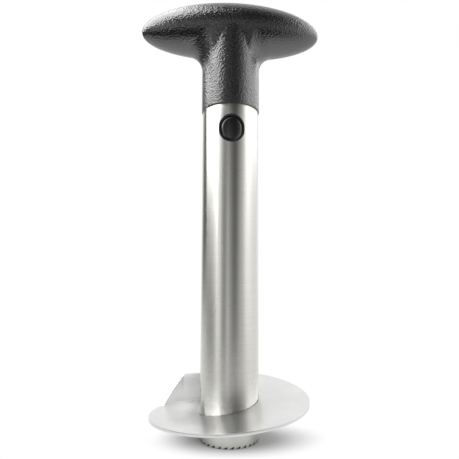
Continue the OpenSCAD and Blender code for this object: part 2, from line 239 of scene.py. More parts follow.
class StageSettings(PropertyGroup):
    """Camera and studio light."""
    camera_place: place("Camera", "Where the camera stands", (-12.2 * MM, -245.15 * MM, 88.48 * MM))
    camera_pitch: turn("Camera pitch", "How far the camera looks up", 5.82)
    camera_heading: turn("Camera heading", "How far the camera looks to the right of +Y", 2.81)
    camera_roll: turn("Camera roll", "How far the camera leans to the left", 0.23)
    lens: FloatProperty(name="Lens", description="Focal length on a 36 mm sensor", default=34.08,
                        unit="CAMERA")
    floor_size: length("Floor", "Size of the floor", 4)
    floor_front: length("Floor front", "How far the floor reaches to the front", 0.19)
    floor_turn: turn("Floor turn", "How far the floor's front edge is turned to the left", 22)
    floor_near: length("Floor near", "Distance to which the floor shows its full shadow", 0.017)
    floor_far: length("Floor far", "Distance from which the floor is plain white", 0.052)
    floor_shift: length("Floor shift", "How far the shadow lies to the right of the tube's axis", 0.004)
    floor_bore: length("Floor bore", "Radius of the dark place on the floor under the tube's bore", 0.0155)
    floor_squeeze: FloatProperty(name="Floor squeeze", default=1.8, min=1,
                                 description="How much shorter the shadow is to the front than to the side")


# Width of the camera's sensor in millimetres, and the nearest distance that it shows in metres
SENSOR_WIDTH = 36
CLIP_START = 0.01
# Brightness of the studio's walls, by direction in degrees to the right of the camera
SURROUND = ((-180, 1.04), (-155, 0.9), (-140, 0.15), (-122, 0.1), (-108, 0.2), (-93, 0.2), (-82, 0.2),
            (-72, 0.28), (-63, 0.48), (-53, 0.95), (-45, 1), (-37, 0.58), (-29, 0.32), (-20, 0.36),
            (-12, 0.82), (-4, 0.56), (4, 0.38), (12, 0.22), (20, 0.2), (29, 0.34), (37, 0.56), (46, 0.65),
            (54, 0.9), (61, 1.22), (73, 1.25), (90, 1.15), (107, 1.02), (122, 1), (142, 1.08), (180, 1.04))
# Factor on that brightness at each height, from straight down at -1 to straight up at 1
HEIGHTS = ((-1, 0.08), (-0.42, 0.08), (-0.3, 0.5), (-0.2, 1.05), (-0.1, 1.12), (0.02, 1), (1, 1))
# Share left of it towards the dark place above the camera, from straight away at -1 to straight at it at 1
SHADES = ((-1, 1), (0.6, 1), (0.9, 0.2), (1, 0.2))
SHADE_AT = Vector((0, -0.574, 0.819))
# Painted shade on the floor in reflections: share of white that it shows there, by distance to the front of
# the tube's axis in metres
FRONT_PAINTED_SHADE_SHARES = ((-0.1, 1), (-0.01, 0.9), (0.05, 0.75), (0.1, 0.62), (0.14, 0.48), (0.19, 0.2))
# Share that it shows at least, by distance from the axis, which keeps the painted shade off near the object
NEAR_UNSHADED_SHARES = ((0.105, 1), (0.145, 0))
# Soft boxes: name, direction to the right of the camera, distance, height, width, tallness, brightness
SOFT_BOXES = (("left_box", -88, 0.6, 0.9, 1.2, 1.08, 4.2),
              ("right_box", 108, 0.7, 0.72, 1.2, 0.6, 1.1))
SOFT_BOX_AIM = Vector((0, 0, 0.12))


def add_piece(name, bm):
    """Turns a bmesh into an object at the origin."""
    mesh = bpy.data.meshes.new(name)
    bm.to_mesh(mesh)
    bm.free()
    piece = bpy.data.objects.new(name, mesh)
    bpy.context.scene.collection.objects.link(piece)
    return piece


def apply_modifiers(piece):
    """Replaces the piece's mesh by the result of its modifiers."""
    graph = bpy.context.evaluated_depsgraph_get()
    result = bpy.data.meshes.new_from_object(piece.evaluated_get(graph), depsgraph=graph)
    rough = piece.data
    piece.modifiers.clear()
    piece.data = result
    bpy.data.meshes.remove(rough)


def carve(piece, cutter, operation="DIFFERENCE"):
    """Cuts the piece with a second object, or joins the two. The second one is then removed."""
    cut = piece.modifiers.new("cut", "BOOLEAN")
    cut.operation = operation
    cut.solver = "EXACT"
    cut.object = cutter
    apply_modifiers(piece)
    spare = cutter.data
    bpy.data.objects.remove(cutter)
    bpy.data.meshes.remove(spare)


def finish_piece(piece, body, nodes, material, crease=35):
    """Shades the piece smoothly up to a crease angle, ties it to its body and hides the CAD nodes that it
    stands for.
    """
    mesh = piece.data
    mesh.polygons.foreach_set("use_smooth", [True] * len(mesh.polygons))
    mesh.set_sharp_from_angle(angle=math.radians(crease))
    mesh.materials.clear()
    mesh.materials.append(material)
    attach(piece, body)
    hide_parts(*nodes)
    return piece


def outward(bm):
    """Merges doubles and turns all faces outwards."""
    bmesh.ops.remove_doubles(bm, verts=bm.verts, dist=DOUBLES)
    bmesh.ops.recalc_face_normals(bm, faces=bm.faces)


def close_ends(bm):
    """Fills every open loop."""
    open_edges = [edge for edge in bm.edges if edge.is_boundary]
    bmesh.ops.holes_fill(bm, edges=open_edges, sides=0)


def chain(bm, points, closed):
    """A chain of vertices and edges to be spun."""
    verts = [bm.verts.new(point) for point in points]
    edges = [bm.edges.new(pair) for pair in zip(verts, verts[1:])]
    if closed:
        edges.append(bm.edges.new((verts[-1], verts[0])))
    return verts + edges


def soften(bm, edges, width, segments=3):
    """Rounds edges over."""
    bmesh.ops.bevel(bm, geom=edges, offset=width, offset_type="OFFSET", segments=segments,
                    profile=0.5, affect="EDGES", material=-1, clamp_overlap=True)


def pull(bm, faces, vec):
    """Extrudes faces along a vector, and gives the faces at the far end."""
    grown = bmesh.ops.extrude_face_region(bm, geom=faces, use_keep_orig=True)["geom"]
    moved = [item for item in grown if isinstance(item, bmesh.types.BMVert)]
    bmesh.ops.translate(bm, vec=vec, verts=moved)
    return [item for item in grown if isinstance(item, bmesh.types.BMFace)]


def level_rings(bm, height):
    """Edges of a turned shape that run round the axis at one height."""
    rings = []
    for edge in bm.edges:
        start, end = (vert.co for vert in edge.verts)
        level_with = max(abs(start.z - height), abs(end.z - height)) < CLOSE
        if level_with and abs(start.xy.length - end.xy.length) < CLOSE:
            rings.append(edge)
    return rings


def turned(bm, profile, steps, closed=True):
    """Spins an outline of radius and height round the axis, one that is closed or ends on the axis."""
    outline = chain(bm, [(radius, 0, z) for radius, z in profile], closed)
    bmesh.ops.spin(bm, geom=outline, axis=UP, cent=ORIGIN, steps=steps, angle=FULL_TURN,
                   use_merge=True)
    outward(bm)


def oval_plate(bm, width, height, y_near, y_far, middle, segments=96):
    """Upright oval plate from y_near to y_far, and the face at y_far."""
    upright = Matrix.Rotation(math.pi / 2, 4, "X") @ Matrix.Rotation(math.pi / segments, 4, "Z")
    ring = bmesh.ops.create_circle(bm, cap_ends=True, segments=segments, radius=width / 2,
                                   matrix=upright)["verts"]
    for vert in ring:
        vert.co.z += math.copysign((height - width) / 2, vert.co.z) + middle
        vert.co.y = y_near
    return pull(bm, [ring[0].link_faces[0]], (0, y_far - y_near, 0))[0]


def rod(bm, radius, start, end, segments=48, rounding=0):
    """Solid round rod between two points."""
    axis = Vector(end) - Vector(start)
    middle = (Vector(start) + Vector(end)) / 2
    lie = Matrix.Translation(middle) @ axis.to_track_quat("Z", "Y").to_matrix().to_4x4()
    verts = bmesh.ops.create_cone(bm, cap_ends=True, segments=segments, radius1=radius,
                                  radius2=radius, depth=axis.length, matrix=lie)["verts"]
    if rounding:
        rims = {edge for vert in verts for edge in vert.link_edges
                if any(len(face.verts) > 4 for face in edge.link_faces)}
        soften(bm, list(rims), rounding)


def set_inputs(node, values):
    """Sets a node's own numbers by the names of its inputs."""
    for name, value in values.items():
        node.inputs[name].default_value = value


def add_node(tree, kind, *sources, **values):
    """Adds a node, sets its own values and joins sources to its first inputs."""
    node = tree.nodes.new(kind)
    for key, value in values.items():
        setattr(node, key, value)
    for source, target in zip(sources, node.inputs):
        tree.links.new(source, target)
    return node


class Finish:
    """Node tree of one material, with the nodes that several finishes share."""

    def __init__(self, name):
        self.material = bpy.data.materials.new(name)
        self.material.use_nodes = True
        self.tree = self.material.node_tree
        self.shader = self.tree.nodes["Principled BSDF"]
        self.coords = self.add("ShaderNodeTexCoord").outputs["Object"]

    def add(self, kind, *sources, **values):
        """Adds a node to this finish."""
        return add_node(self.tree, kind, *sources, **values)

    def put(self, values):
        """Sets the shader's plain numbers by the names of its inputs."""
        set_inputs(self.shader, values)

    def noise(self, scale, detail=3, roughness=0.55):
        """Noise on Object coordinates, with one scale for each axis, per metre."""
        mapping = self.add("ShaderNodeMapping", self.coords)
        mapping.inputs["Scale"].default_value = scale
        noise = self.add("ShaderNodeTexNoise", mapping.outputs["Vector"])
        set_inputs(noise, {"Scale": 1, "Detail": detail, "Roughness": roughness})
        return noise.outputs["Fac"]

    def pebbles(self, size, smoothness):
        """Rounded pebbles of one size on Object coordinates."""
        pebbles = self.add("ShaderNodeTexVoronoi", self.coords, feature="SMOOTH_F1")
        set_inputs(pebbles, {"Scale": 1 / size, "Smoothness": smoothness})
        return pebbles.outputs["Distance"]

    def spread(self, source, socket, low, high, start=0.3, stop=0.7):
        """Maps a pattern to a range of one of the shader's numbers."""
        ranged = self.add("ShaderNodeMapRange", source)
        set_inputs(ranged, {"From Min": start, "From Max": stop, "To Min": low, "To Max": high})
        self.tree.links.new(ranged.outputs["Result"], self.shader.inputs[socket])

    def tint(self, source, dark, light, start=0.3, stop=0.7):
        """Varies the base colour between two shades."""
        ramp = self.add("ShaderNodeValToRGB", source)
        stops = ramp.color_ramp.elements
        for stop_at, where, tone in zip(stops, (start, stop), (dark, light)):
            stop_at.position = where
            stop_at.color = (*tone, 1)
        self.tree.links.new(ramp.outputs["Color"], self.shader.inputs["Base Color"])

    def bump(self, sources, strength):
        """Relief from patterns, each given with its height in metres."""
        normal = None
        for source, height in sources:
            bump = self.add("ShaderNodeBump")
            set_inputs(bump, {"Strength": strength, "Distance": height})
            self.tree.links.new(source, bump.inputs["Height"])
            if normal:
                self.tree.links.new(normal, bump.inputs["Normal"])
            normal = bump.outputs["Normal"]
        self.tree.links.new(normal, self.shader.inputs["Normal"])


def shade(colour_value, factor):
    """A colour made darker or lighter."""
    return tuple(min(1, channel * factor) for channel in colour_value)


def brushed_tube_steel(finish_settings):
    """Steel brushed round the tube: long streaks round the axis, close together along it."""
    finish = Finish("brushed_tube_steel")
    streaks = finish.noise((10, 10, 1000), detail=2, roughness=0.6)
    clouds = finish.noise((40, 40, 22), detail=2)
    steel = finish_settings.tube_steel
    finish.tint(streaks, shade(steel, 0.965), shade(steel, 1.03))
    finish.spread(clouds, "Roughness", low=0.22, high=0.34, start=0, stop=1)
    finish.bump([(streaks, 0.001 * MM)], strength=0.5)
    finish.put({"Metallic": 1, "Anisotropic": 0.85, "Anisotropic Rotation": 0.25})
    around = finish.add("ShaderNodeTangent", direction_type="RADIAL", axis="Z")
    finish.tree.links.new(around.outputs["Tangent"], finish.shader.inputs["Tangent"])
    return finish.material


def satin_blade_steel(finish_settings):
    """Bright rolled sheet with a fine satin and faint handling marks."""
    finish = Finish("satin_blade_steel")
    satin = finish.noise((900, 900, 900), detail=3, roughness=0.7)
    clouds = finish.noise((55, 55, 55), detail=3)
    steel = finish_settings.blade_steel
    finish.tint(clouds, shade(steel, 0.95), shade(steel, 1.04))
    finish.spread(clouds, "Roughness", low=0.28, high=0.35, start=0, stop=1)
    finish.bump([(satin, 0.004 * MM)], strength=0.5)
    finish.put({"Metallic": 1})
    return finish.material


def dull_weld_steel(finish_settings):
    """Weld metal with a dull, slightly scaly skin."""
    finish = Finish("dull_weld_steel")
    scale = finish.noise((2600, 2600, 2600), detail=4, roughness=0.7)
    steel = finish_settings.weld_steel
    finish.tint(scale, shade(steel, 0.7), shade(steel, 1.15))
    finish.spread(scale, "Roughness", low=0.35, high=0.55)
    finish.bump([(scale, 0.03 * MM)], strength=0.6)
    finish.put({"Metallic": 1})
    return finish.material


def zinc_plate(finish_settings):
    """Bright zinc with a faint mottle."""
    finish = Finish("zinc_plate")
    mottle = finish.noise((1500, 1500, 1500))
    zinc = finish_settings.screw_zinc
    finish.tint(mottle, shade(zinc, 0.85), shade(zinc, 1.1))
    finish.spread(mottle, "Roughness", low=0.28, high=0.4)
    finish.put({"Metallic": 1})
    return finish.material


def drawn_wire(finish_settings):
    """Spring wire with fine drawing marks."""
    finish = Finish("drawn_wire")
    marks = finish.noise((2200, 2200, 2200), detail=4)
    wire = finish_settings.spring_steel
    finish.tint(marks, shade(wire, 0.8), shade(wire, 1.15))
    finish.spread(marks, "Roughness", low=0.22, high=0.36)
    finish.put({"Metallic": 1})
    return finish.material


def grained_black(finish_settings, grain):
    """Black moulded plastic with a pebbled grain."""
    finish = Finish("grained_black")
    fine_per_pebble = 2.6
    pebble = finish.pebbles(grain, smoothness=0.35)
    fine = finish.noise((fine_per_pebble / grain,) * 3, detail=2, roughness=0.6)
    clouds = finish.noise((45, 45, 45), detail=2)
    black = finish_settings.grip_black
    finish.tint(pebble, shade(black, 0.75), shade(black, 1.35))
    finish.spread(clouds, "Roughness", low=0.19, high=0.25, start=0, stop=1)
    finish.bump([(pebble, 0.18 * MM), (fine, 0.02 * MM)], strength=1)
    finish.put({"Specular IOR Level": 1, "IOR": 1.66})
    return finish.material


def polished_black(finish_settings):
    """Polished black plastic with a trace of fine wear."""
    finish = Finish("polished_black")
    wear = finish.noise((420, 420, 420), detail=4, roughness=0.65)
    black = finish_settings.button_black
    finish.tint(wear, shade(black, 0.8), shade(black, 1.3))
    finish.spread(wear, "Roughness", low=0.14, high=0.24)
    finish.bump([(wear, 0.004 * MM)], strength=0.4)
    finish.put({"Specular IOR Level": 1})
    return finish.material


def plain_gray(finish_settings):
    """Dark moulded plastic with a soft sheen."""
    finish = Finish("plain_gray")
    skin = finish.noise((1300, 1300, 1300), detail=3)
    gray = finish_settings.plug_gray
    finish.tint(skin, shade(gray, 0.8), shade(gray, 1.2))
    finish.spread(skin, "Roughness", low=0.38, high=0.5)
    finish.bump([(skin, 0.02 * MM)], strength=0.4)
    return finish.material


class CORER_OT_tube(Operator):
    """Make the coring tube with its saw teeth and button windows"""
    bl_idname = "corer.make_tube"
    bl_label = "Coring tube"

    def execute(self, context):
        tube = context.scene.corer_tube
        bm = bmesh.new()
        bore = tube.radius - tube.wall
        turned(bm, [(bore, 0), (tube.radius, 0), (tube.radius, tube.top), (bore, tube.top)], tube.sides)
        soften(bm, level_rings(bm, tube.top), tube.rim_round)
        piece = add_piece("core_tube_shell", bm)
        carve(piece, self.tooth_cutter(tube))
        carve(piece, self.window_cutter(tube))
        finish_piece(piece, "tube", ["core_tube"],
                     brushed_tube_steel(context.scene.corer_finish))
        return {"FINISHED"}

    def tooth_cutter(self, tube):
        """One sawtooth notch, repeated round the rim."""
        pitch = FULL_TURN * tube.radius / tube.teeth
        inside = tube.wall + PAST - tube.radius
        outline = [(tube.tooth_land, -PAST), (tube.tooth_land, 0),
                   (pitch, tube.tooth_depth), (pitch, -PAST)]
        bm = bmesh.new()
        base = bm.faces.new([bm.verts.new((x - pitch / 2, inside, z)) for x, z in outline])
        pull(bm, [base], (0, -tube.wall - 2 * PAST, 0))
        step = FULL_TURN / tube.teeth
        bmesh.ops.spin(bm, geom=bm.verts[:] + bm.edges[:] + bm.faces[:], axis=UP, cent=ORIGIN,
                       steps=tube.teeth - 1, angle=FULL_TURN - step, use_duplicate=True)
        bmesh.ops.recalc_face_normals(bm, faces=bm.faces)
        return add_piece("tooth_cutter", bm)

    def window_cutter(self, tube):
        """One oval prism through both sides of the tube."""
        bm = bmesh.new()
        reach = 2 * tube.radius
        oval_plate(bm, tube.window_width, tube.window_height, reach, -reach, BUTTON_MIDDLE)
        bmesh.ops.recalc_face_normals(bm, faces=bm.faces)
        return add_piece("window_cutter", bm)


class CORER_OT_blade(Operator):
    """Make the helical slicing blade with its peel wall"""
    bl_idname = "corer.make_blade"
    bl_label = "Slicing blade"

    def execute(self, context):
        blade = context.scene.corer_blade
        bm = bmesh.new()
        foot = blade.radius - blade.peel_thickness
        sheet = blade.lead_height
        low = sheet - blade.thickness
        top = sheet + blade.peel_height
        section = [(blade.inner_radius, low), (blade.radius, low), (blade.radius, top), (foot, top)]
        for step in range(blade.bend_steps, -1, -1):
            bent = math.pi / 2 * step / blade.bend_steps
            section.append((foot - blade.peel_bend * (1 - math.sin(bent)),
                            sheet + blade.peel_bend * (1 - math.cos(bent))))
        section.append((blade.inner_radius, sheet))
        lead = Vector((math.cos(blade.lead_angle), math.sin(blade.lead_angle), 0))
        outline = chain(bm, [lead * radius + UP * z for radius, z in section], closed=True)
        climb = blade.rise * blade.sweep / FULL_TURN / blade.steps
        bmesh.ops.spin(bm, geom=outline, axis=UP, cent=ORIGIN, dvec=UP * climb, steps=blade.steps,
                       angle=blade.sweep)
        for vert in bm.verts:
            self.cut_wall(vert, blade)
            self.grind_lead(vert, blade)
        outward(bm)
        close_ends(bm)
        bmesh.ops.recalc_face_normals(bm, faces=bm.faces)
        sharp_from = math.radians(30)
        sharp = [edge for edge in bm.edges if edge.calc_face_angle(0) > sharp_from]
        soften(bm, sharp, blade.edge_round, segments=2)
        finish_piece(add_piece("slicing_blade_sheet", bm), "tube", ["slicing_blade"],
                     satin_blade_steel(context.scene.corer_finish), crease=25)
        return {"FINISHED"}

    def past_lead(self, vert, blade):
        """Angle of a vertex past the leading edge."""
        angle = (math.atan2(vert.co.y, vert.co.x) - blade.lead_angle) % FULL_TURN
        return 0 if angle > (blade.sweep + FULL_TURN) / 2 else angle

    def sheet_top(self, vert, blade):
        """Height of the sheet's top face at a vertex."""
        return blade.lead_height + blade.rise * self.past_lead(vert, blade) / FULL_TURN

    def cut_wall(self, vert, blade):
        """Cuts the wall down along its falling outline."""
        fall = blade.peel_foot_sweep - blade.peel_top_sweep
        left = (blade.peel_foot_sweep - self.past_lead(vert, blade)) / fall
        sheet = self.sheet_top(vert, blade)
        if vert.co.z > sheet:
            vert.co.z = min(vert.co.z, sheet + blade.peel_height * min(1, max(0, left)))

    def grind_lead(self, vert, blade):
        """Thins the sheet and the wall towards the leading edge."""
        ground = 1 - min(1, self.past_lead(vert, blade) / blade.edge_sweep)
        radius = vert.co.xy.length
        rim = (blade.radius + blade.inner_radius) / 2
        if vert.co.z < self.sheet_top(vert, blade) - blade.thickness / 2:
            vert.co.z += ground * (blade.thickness - blade.edge_thickness)
        elif rim < radius < blade.radius - blade.peel_thickness / 2:
            vert.co.xy *= 1 + ground * (blade.peel_thickness - blade.edge_thickness) / radius


class CORER_OT_welds(Operator):
    """Make the rippled weld beads under the blade"""
    bl_idname = "corer.make_welds"
    bl_label = "Weld beads"

    def execute(self, context):
        blade = context.scene.corer_blade
        material = dull_weld_steel(context.scene.corer_finish)
        for node in WELD_NODES:
            low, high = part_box(node)
            middle = (low + high) / 2
            radius = (high.z - low.z) / 2
            along = Vector((-middle.y, middle.x, 0)).normalized()
            bm = bmesh.new()
            verts = bmesh.ops.create_icosphere(bm, subdivisions=BEAD_DIVISIONS, radius=radius)["verts"]
            for vert in verts:
                ripple = math.cos(blade.bead_waves * math.pi * vert.co.dot(along) / (2 * radius))
                vert.co *= 1 - blade.bead_ripple * (1 - ripple) / 2
            bmesh.ops.translate(bm, vec=middle, verts=verts)
            finish_piece(add_piece(node + "_rippled", bm), "tube", [node], material)
        return {"FINISHED"}


def bar_underside(grip, x, y):
    """Height of the bar's underside over a place in its plan."""
    u = 2 * x / grip.bar_length
    v = 2 * y / grip.bar_depth
    belly = grip.bar_height / 2 * math.sqrt(max(0, 1 - u * u - v * v))
    return grip.bar_centre - grip.droop * u * u - belly


def fillet_point(grip, share_up, around):
    """Point of the fillet, from 0 on the neck to 1 on the bar, at an angle round the neck."""
    sink = 0.05 * MM
    bury = 0.3 * MM
    inside_plan = 0.985
    reach = grip.fillet * math.cos(around) ** 2
    out = Vector((math.cos(around), math.sin(around), 0))
    plan = 1 / math.hypot(2 * out.x / grip.bar_length, 2 * out.y / grip.bar_depth)
    end_radius = min(grip.neck_radius + reach, inside_plan * plan)
    end = bar_underside(grip, *(out.xy * end_radius))
    slope = (end - bar_underside(grip, *(out.xy * (end_radius - bury)))) / bury
    corner = end - slope * (end_radius - grip.neck_radius)
    start = corner - reach - bury
    rest = 1 - share_up
    radius = grip.neck_radius - sink + (end_radius - grip.neck_radius + sink) * share_up ** 2
    height = start * rest ** 2 + 2 * corner * share_up * rest + (end + bury) * share_up ** 2
    return out * radius + UP * height


def grip_form(grip):
    """Bar, neck and fillet joined into one smooth solid, cut flat at the neck's foot."""
    bm = bmesh.new()
    stem = chain(bm, [(1, 0, ring / FILLET_RINGS) for ring in range(FILLET_RINGS + 1)], closed=False)
    bmesh.ops.spin(bm, geom=stem, axis=UP, cent=ORIGIN, steps=FILLET_STEPS, angle=FULL_TURN,
                   use_merge=True)
    for vert in bm.verts:
        vert.co = fillet_point(grip, vert.co.z, math.atan2(vert.co.y, vert.co.x))
    close_ends(bm)
    bmesh.ops.recalc_face_normals(bm, faces=bm.faces)
    half = Vector((grip.bar_length, grip.bar_depth, grip.bar_height)) / 2
    bar = bmesh.ops.create_uvsphere(bm, u_segments=BAR_SEGMENTS, v_segments=BAR_RINGS, radius=1)["verts"]
    bmesh.ops.scale(bm, vec=half, verts=bar)
    for vert in bar:
        vert.co.z += grip.bar_centre - grip.droop * (vert.co.x / half.x) ** 2
    spare = 4 * MM
    rod(bm, grip.neck_radius, (0, 0, grip.neck_foot - spare), (0, 0, grip.bar_centre),
        segments=NECK_SEGMENTS)
    piece = add_piece("grip_form", bm)
    join = piece.modifiers.new("join", "REMESH")
    join.mode = "VOXEL"
    join.voxel_size = grip.voxel
    relax = piece.modifiers.new("relax", "SMOOTH")
    relax.factor = 0.5
    relax.iterations = 12
    apply_modifiers(piece)
    bm = bmesh.new()
    bm.from_mesh(piece.data)
    bmesh.ops.bisect_plane(bm, geom=bm.verts[:] + bm.edges[:] + bm.faces[:],
                           plane_co=(0, 0, grip.neck_foot), plane_no=UP, clear_inner=True)
    rim = [edge for edge in bm.edges if edge.is_boundary]
    bmesh.ops.holes_fill(bm, edges=rim, sides=0)
    bmesh.ops.recalc_face_normals(bm, faces=bm.faces)
    soften(bm, rim, grip.neck_edge)
    bmesh.ops.remove_doubles(bm, verts=bm.verts, dist=CLOSE)
    bmesh.ops.dissolve_degenerate(bm, edges=bm.edges, dist=CLOSE)
    bm.to_mesh(piece.data)
    bm.free()
    return piece


def lid_prism(grip, margin):
    """Elliptic prism that parts the cover from the grip."""
    bm = bmesh.new()
    ring = bmesh.ops.create_circle(bm, cap_ends=True, segments=ROUND_SEGMENTS, radius=1)["verts"]
    bmesh.ops.scale(bm, vec=(grip.lid_length / 2 - margin, grip.lid_depth / 2 - margin, 1), verts=ring)
    bmesh.ops.translate(bm, vec=(0, 0, grip.bar_centre + grip.lid_floor + margin), verts=ring)
    pull(bm, bm.faces[:], (0, 0, grip.bar_height))
    bmesh.ops.recalc_face_normals(bm, faces=bm.faces)
    return add_piece("lid_prism", bm)


class CORER_OT_grip(Operator):
    """Make the grained T grip and the cover let into its top"""
    bl_idname = "corer.make_grip"
    bl_label = "Grip and cover"

    def execute(self, context):
        grip = context.scene.corer_grip
        material = grained_black(context.scene.corer_finish, grip.grain)
        body = grip_form(grip)
        cover = body.copy()
        cover.data = body.data.copy()
        context.scene.collection.objects.link(cover)
        carve(cover, lid_prism(grip, grip.lid_gap), "INTERSECT")
        carve(body, lid_prism(grip, 0))
        carve(body, self.socket(grip))
        body.name = "grip_shell"
        cover.name = "grip_lid"
        finish_piece(body, "handle", ["grip_body"], material)
        finish_piece(cover, "handle", ["grip_cover"], material)
        return {"FINISHED"}

    def socket(self, grip):
        """Round socket in the neck that takes the plug."""
        bm = bmesh.new()
        play = 0.02 * MM
        rod(bm, PLUG_HIGH.x + play, (0, 0, grip.neck_foot - PAST), (0, 0, PLUG_HIGH.z),
            segments=ROUND_SEGMENTS)
        return add_piece("socket_cutter", bm)


class CORER_OT_buttons(Operator):
    """Make the two crowned release buttons"""
    bl_idname = "corer.make_buttons"
    bl_label = "Release buttons"

    def execute(self, context):
        latch = context.scene.corer_latch
        material = polished_black(context.scene.corer_finish)
        for side, turned_by in (("front", 0), ("rear", math.pi)):
            piece = self.solid(side + "_button_cap", self.crown, latch, turned_by)
            carve(piece, self.solid("flange", self.flange, latch, turned_by), "UNION")
            carve(piece, self.solid("sleeve", self.sleeve, latch, turned_by), "UNION")
            carve(piece, self.solid("bore_cutter", self.bore, latch, turned_by))
            finish_piece(piece, side + "_release", [side + "_button"], material, crease=50)
        return {"FINISHED"}

    def solid(self, name, shape, latch, turned_by):
        """One of a button's solids, turned to the button's side of the tube."""
        bm = bmesh.new()
        shape(bm, latch)
        bmesh.ops.rotate(bm, cent=ORIGIN, matrix=Matrix.Rotation(turned_by, 3, "Z"), verts=bm.verts)
        bmesh.ops.recalc_face_normals(bm, faces=bm.faces)
        return add_piece(name, bm)

    def crown(self, bm, latch):
        """Oval head with a rounded rim and a crowned face."""
        root = -latch.flange_face + latch.flange_thickness / 2
        face = oval_plate(bm, latch.button_width, latch.button_height, root, -latch.button_face,
                          BUTTON_MIDDLE)
        # The rim's rounding, as shares of its width and of its fall
        rim_steps = ((0, 1), (0.25, 0.66), (0.6, 0.22), (1, 0))
        inset = 0
        for share_in, drop in rim_steps:
            self.step_in(bm, face, latch.rim_width * share_in - inset)
            inset = latch.rim_width * share_in
            self.lay_on_crown(face, latch, latch.rim_drop * drop)
        room = latch.button_width / 2 - latch.rim_width
        for _ in range(CROWN_RINGS):
            self.step_in(bm, face, room / (CROWN_RINGS + 1))
            self.lay_on_crown(face, latch, 0)

    def step_in(self, bm, face, width):
        """Insets the face."""
        if width > 0:
            bmesh.ops.inset_region(bm, faces=[face], thickness=width, use_even_offset=True)

    def lay_on_crown(self, face, latch, drop):
        """Lays the face's outline on the crown, or under it."""
        for vert in face.verts:
            across = math.sqrt(latch.side_radius ** 2 - vert.co.x ** 2)
            bow = latch.end_radius - latch.side_radius + across
            reach = math.sqrt(bow ** 2 - (vert.co.z - BUTTON_MIDDLE) ** 2)
            vert.co.y = drop - (latch.button_face - latch.end_radius + reach)

    def flange(self, bm, latch):
        """Flange that keeps the button in the plug."""
        back = -latch.flange_face + latch.flange_thickness
        oval_plate(bm, latch.button_width + 2 * latch.flange_width,
                   latch.button_height + 2 * latch.flange_width, back, -latch.flange_face, BUTTON_MIDDLE)

    def sleeve(self, bm, latch):
        """Sleeve that runs on the guide post, from its free end into the flange."""
        root = -latch.flange_face + latch.flange_thickness / 2
        rod(bm, latch.sleeve_radius, (0, -latch.sleeve_end, BUTTON_MIDDLE), (0, root, BUTTON_MIDDLE))

    def bore(self, bm, latch):
        """Blind bore that takes the guide post when the button is pressed."""
        rod(bm, latch.sleeve_bore, (0, 0, BUTTON_MIDDLE), (0, -latch.bore_end, BUTTON_MIDDLE))


class CORER_OT_plug(Operator):
    """Make the latch plug with its button openings"""
    bl_idname = "corer.make_plug"
    bl_label = "Latch plug"

    def execute(self, context):
        latch = context.scene.corer_latch
        radius = PLUG_HIGH.x
        bore = radius - latch.plug_wall
        plate = PLUG_HIGH.z - latch.plug_plate
        bm = bmesh.new()
        turned(bm, [(0, plate), (bore, plate), (bore, PLUG_LOW.z), (radius, PLUG_LOW.z),
                    (radius, PLUG_HIGH.z), (0, PLUG_HIGH.z)], PLUG_STEPS, closed=False)
        soften(bm, level_rings(bm, PLUG_LOW.z), latch.plug_round)
        piece = add_piece("latch_plug_body", bm)
        bm = bmesh.new()
        reach = 2 * radius
        oval_plate(bm, latch.button_width + 2 * latch.plug_clear, latch.button_height + 2 * latch.plug_clear,
                   reach, -reach, BUTTON_MIDDLE)
        bmesh.ops.recalc_face_normals(bm, faces=bm.faces)
        carve(piece, add_piece("opening_cutter", bm))
        finish_piece(piece, "handle", ["latch_plug"],
                     plain_gray(context.scene.corer_finish))
        return {"FINISHED"}


class CORER_OT_cap(Operator):
    """Make the cap of the plug, with its web and guide posts"""
    bl_idname = "corer.make_cap"
    bl_label = "Latch cap"

    def execute(self, context):
        latch = context.scene.corer_latch
        low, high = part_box("latch_cap")
        bm = bmesh.new()
        rod(bm, high.x, (0, 0, low.z), (0, 0, low.z + latch.cap_thickness), segments=ROUND_SEGMENTS,
            rounding=latch.cap_round)
        foot = low.z + latch.cap_thickness / 2
        size = Vector((latch.web_width, latch.web_thickness, high.z - foot))
        web = bmesh.ops.create_cube(bm, size=1)["verts"]
        bmesh.ops.scale(bm, vec=size, verts=web)
        bmesh.ops.translate(bm, vec=(0, 0, foot + size.z / 2), verts=web)
        soften(bm, list({line for vert in web for line in vert.link_edges}), latch.cap_round)
        rod(bm, latch.post_radius, (0, -latch.post_end, BUTTON_MIDDLE), (0, latch.post_end, BUTTON_MIDDLE),
            rounding=latch.cap_round)
        bmesh.ops.recalc_face_normals(bm, faces=bm.faces)
        finish_piece(add_piece("latch_cap_web", bm), "handle", ["latch_cap"],
                     plain_gray(context.scene.corer_finish))
        return {"FINISHED"}


class CORER_OT_springs(Operator):
    """Make the two coil springs"""
    bl_idname = "corer.make_springs"
    bl_label = "Springs"

    def execute(self, context):
        latch = context.scene.corer_latch
        material = drawn_wire(context.scene.corer_finish)
        steps = WIRE_STEPS * latch.spring_turns
        seat = latch.web_thickness / 2
        span = SPRING_HIGH.y - SPRING_LOW.y - 2 * latch.wire_radius
        for side, outwards in (("front", -1), ("rear", 1)):
            bm = bmesh.new()
            start = Vector((latch.spring_radius, outwards * (seat + latch.wire_radius), BUTTON_MIDDLE))
            ring = bmesh.ops.create_circle(bm, segments=WIRE_SIDES, radius=latch.wire_radius,
                                           matrix=Matrix.Translation(start))["verts"]
            loop = list({edge for vert in ring for edge in vert.link_edges})
            bmesh.ops.spin(bm, geom=ring + loop, axis=(0, outwards, 0), cent=(0, 0, BUTTON_MIDDLE),
                           dvec=(0, outwards * span / steps, 0), steps=steps,
                           angle=FULL_TURN * latch.spring_turns)
            close_ends(bm)
            outward(bm)
            piece = finish_piece(add_piece(side + "_spring_coil", bm), "handle",
                                 [side + "_spring"], material)
            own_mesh(piece)
        return {"FINISHED"}


